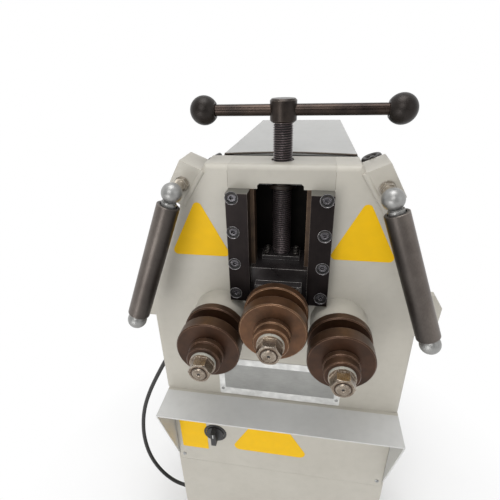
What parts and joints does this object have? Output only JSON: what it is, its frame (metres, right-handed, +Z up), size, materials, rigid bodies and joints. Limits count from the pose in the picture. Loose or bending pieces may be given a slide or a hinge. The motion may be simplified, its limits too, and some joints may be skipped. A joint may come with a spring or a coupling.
{
  "type": "ring roller",
  "caption": "Floor-standing ring roller: a pressure screw lowers the upper roll between two geared lower rolls, with a tilted guide roller on each side.",
  "frame": {"origin": "centre of the base plate's underside, on the floor", "axes": "+Z up, +X to the operator's right, the rolls face -Y"},
  "size_m": [0.7752, 0.532, 1.375],
  "materials": {
    "body_enamel": "satin enamel",
    "hood_enamel": "satin enamel",
    "slide_steel": "oiled black",
    "roll_steel": "browned by use",
    "bright_steel": "machined",
    "dark_steel": "black oxide",
    "guide_steel": "dull grey",
    "bronze": "machined",
    "black_plastic": "moulded",
    "cable_rubber": "matt",
    "motor_enamel": "satin enamel"
  },
  "bodies": {
    "frame": {"base_plate": "body_enamel", "column_shell": "body_enamel", "control_panel": "body_enamel", "rear_access_panel": "body_enamel", "hood_shelf": "hood_enamel", "switch_block": "black_plastic", "head_frame": "body_enamel", "head_back_plate": "body_enamel", "bridge_block": "body_enamel", "pressure_nut": "bronze", "left_rail": "slide_steel", "right_rail": "slide_steel", "rail_screws": "dark_steel", "rail_liners": "bronze", "left_bearing_housing": "body_enamel", "right_bearing_housing": "body_enamel", "lower_bearings": "bright_steel", "left_arm_block": "body_enamel", "right_arm_block": "body_enamel", "side_lugs": "body_enamel", "lifting_eyes": "dark_steel", "rear_guard": "hood_enamel", "gearbox": "motor_enamel", "gearmotor": "motor_enamel", "guide_studs": "bright_steel", "cable_glands": "black_plastic", "motor_cable": "cable_rubber"},
    "carriage": {"carriage_block": "slide_steel", "upper_bearings": "bright_steel", "retaining_plate": "dark_steel", "plate_screws": "dark_steel"},
    "press_screw": {"pressure_screw": "dark_steel", "screw_hub": "dark_steel"},
    "cross_bar": {"tommy_bar": "dark_steel", "ball_knobs": "bright_steel"},
    "upper_roll": {"upper_shaft": "bright_steel", "upper_front_disc": "roll_steel", "upper_rear_disc": "roll_steel", "upper_spacers": "roll_steel", "upper_nut": "bright_steel"},
    "lower_left_roll": {"lower_left_shaft": "bright_steel", "lower_left_front_disc": "roll_steel", "lower_left_rear_disc": "roll_steel", "lower_left_spacers": "roll_steel", "lower_left_nut": "bright_steel", "lower_left_gear": "bright_steel"},
    "lower_right_roll": {"lower_right_shaft": "bright_steel", "lower_right_front_disc": "roll_steel", "lower_right_rear_disc": "roll_steel", "lower_right_spacers": "roll_steel", "lower_right_nut": "bright_steel", "lower_right_gear": "bright_steel"},
    "pinion": {"drive_pinion": "bright_steel"},
    "left_guide_arm": {"left_guide_axle": "bright_steel", "left_guide_balls": "bright_steel"},
    "left_guide_roller": {"left_guide_tube": "guide_steel"},
    "right_guide_arm": {"right_guide_axle": "bright_steel", "right_guide_balls": "bright_steel"},
    "right_guide_roller": {"right_guide_tube": "guide_steel"},
    "selector": {"selector_knob": "black_plastic"}
  },
  "joints": [
    {"name": "carriage_slide", "type": "slide", "parent": "frame", "child": "carriage", "axis": [0, 0, 1], "range_m": [-0.02, 0.11]},
    {"name": "press_screw_turn", "type": "hinge", "parent": "carriage", "child": "press_screw", "pos_m": [0, -0.104, 1.32], "axis": [0, 0, 1], "range_deg": [-1800, 9900]},
    {"name": "cross_bar_slide", "type": "slide", "parent": "press_screw", "child": "cross_bar", "axis": [1, 0, 0], "range_m": [-0.145, 0.091]},
    {"name": "upper_roll_spin", "type": "hinge", "parent": "carriage", "child": "upper_roll", "pos_m": [0, -0.226, 1.011], "axis": [0, 1, 0], "continuous": true},
    {"name": "lower_left_spin", "type": "hinge", "parent": "frame", "child": "lower_left_roll", "pos_m": [-0.1182, -0.226, 0.957], "axis": [0, 1, 0], "continuous": true},
    {"name": "lower_right_spin", "type": "hinge", "parent": "frame", "child": "lower_right_roll", "pos_m": [0.1182, -0.226, 0.957], "axis": [0, 1, 0], "continuous": true},
    {"name": "drive_pinion_spin", "type": "hinge", "parent": "frame", "child": "pinion", "pos_m": [0, -0.037, 0.91952], "axis": [0, 1, 0], "continuous": true},
    {"name": "left_guide_swing", "type": "hinge", "parent": "frame", "child": "left_guide_arm", "pos_m": [-0.175, -0.199, 1.232], "axis": [0, 1, 0], "range_deg": [-10, 50]},
    {"name": "left_guide_spin", "type": "hinge", "parent": "left_guide_arm", "child": "left_guide_roller", "pos_m": [-0.175, -0.199, 1.232], "axis": [-0.3406, -0.1166, -0.933], "continuous": true},
    {"name": "right_guide_swing", "type": "hinge", "parent": "frame", "child": "right_guide_arm", "pos_m": [0.175, -0.199, 1.232], "axis": [0, 1, 0], "range_deg": [-50, 10]},
    {"name": "right_guide_spin", "type": "hinge", "parent": "right_guide_arm", "child": "right_guide_roller", "pos_m": [0.175, -0.199, 1.232], "axis": [0.3406, -0.1166, -0.933], "continuous": true},
    {"name": "selector_turn", "type": "hinge", "parent": "frame", "child": "selector", "pos_m": [-0.158, -0.166, 0.583], "axis": [0, 1, 0], "range_deg": [-45, 45]}
  ],
  "couplings": [
    {"joint": "carriage_slide", "follows": "press_screw_turn", "m_per_rad": 0.00063662},
    {"joint": "lower_right_spin", "follows": "lower_left_spin", "ratio": 1},
    {"joint": "drive_pinion_spin", "follows": "lower_left_spin", "ratio": -2.1}
  ]
}
